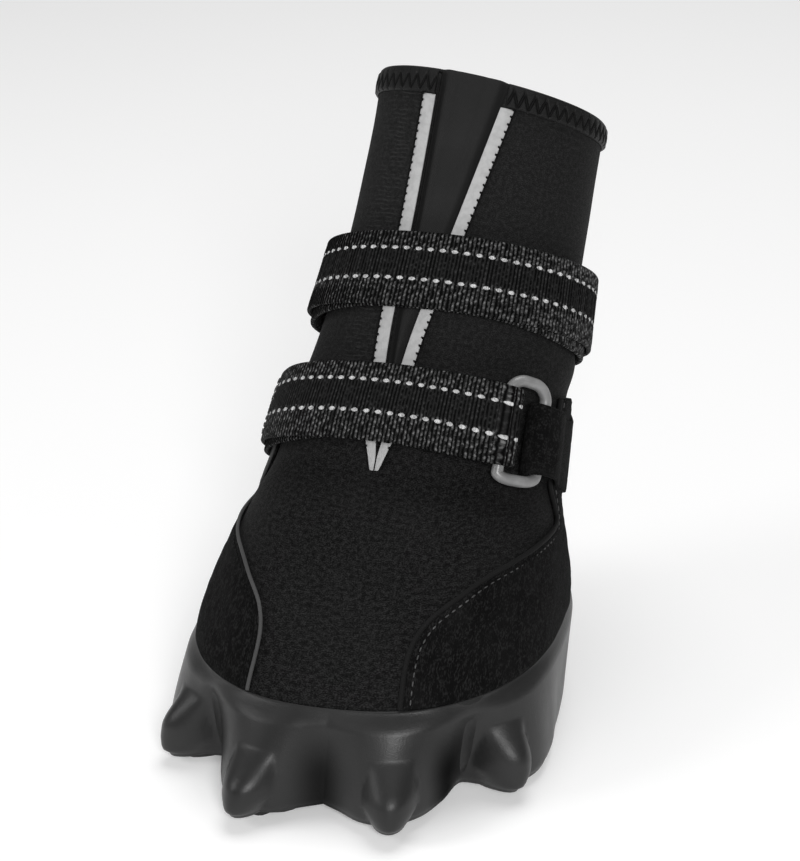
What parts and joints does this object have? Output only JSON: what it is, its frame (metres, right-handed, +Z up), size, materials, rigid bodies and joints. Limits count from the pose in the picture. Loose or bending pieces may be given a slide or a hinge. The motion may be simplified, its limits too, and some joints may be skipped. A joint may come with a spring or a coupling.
{
  "type": "dog boot",
  "caption": "Soft dog boot with a clawed rubber cup sole, a split shaft over a stretch gusset, two webbing straps and a strap ring.",
  "frame": {"origin": "ground point under the main tread pad, on the sole's middle line, 45 per cent of the foot's length behind the toe", "axes": "+Z up from the ground, -Y towards the toe, +X towards the side that carries the ring"},
  "size_m": [0.0823, 0.1369, 0.1306],
  "materials": {
    "rubber": "satin charcoal",
    "foam": "matte",
    "softshell": "matte fine weave",
    "stretch": "smooth stretch fabric",
    "suede": "rough nap",
    "reflective_tape": "light grey tape",
    "binding": "folded stretch tape",
    "webbing": "ribbed webbing",
    "ring_finish": "satin grey"
  },
  "bodies": {
    "root": {"outsole": "rubber", "insole": "foam", "upper": "softshell", "gusset": "stretch", "side_overlay": "suede", "throat_trim_left": "reflective_tape", "throat_trim_right": "reflective_tape", "collar_binding": "binding", "upper_strap_base": "webbing", "upper_strap": "webbing", "lower_strap": "webbing", "ring": "ring_finish", "ring_tab": "suede"}
  },
  "joints": []
}
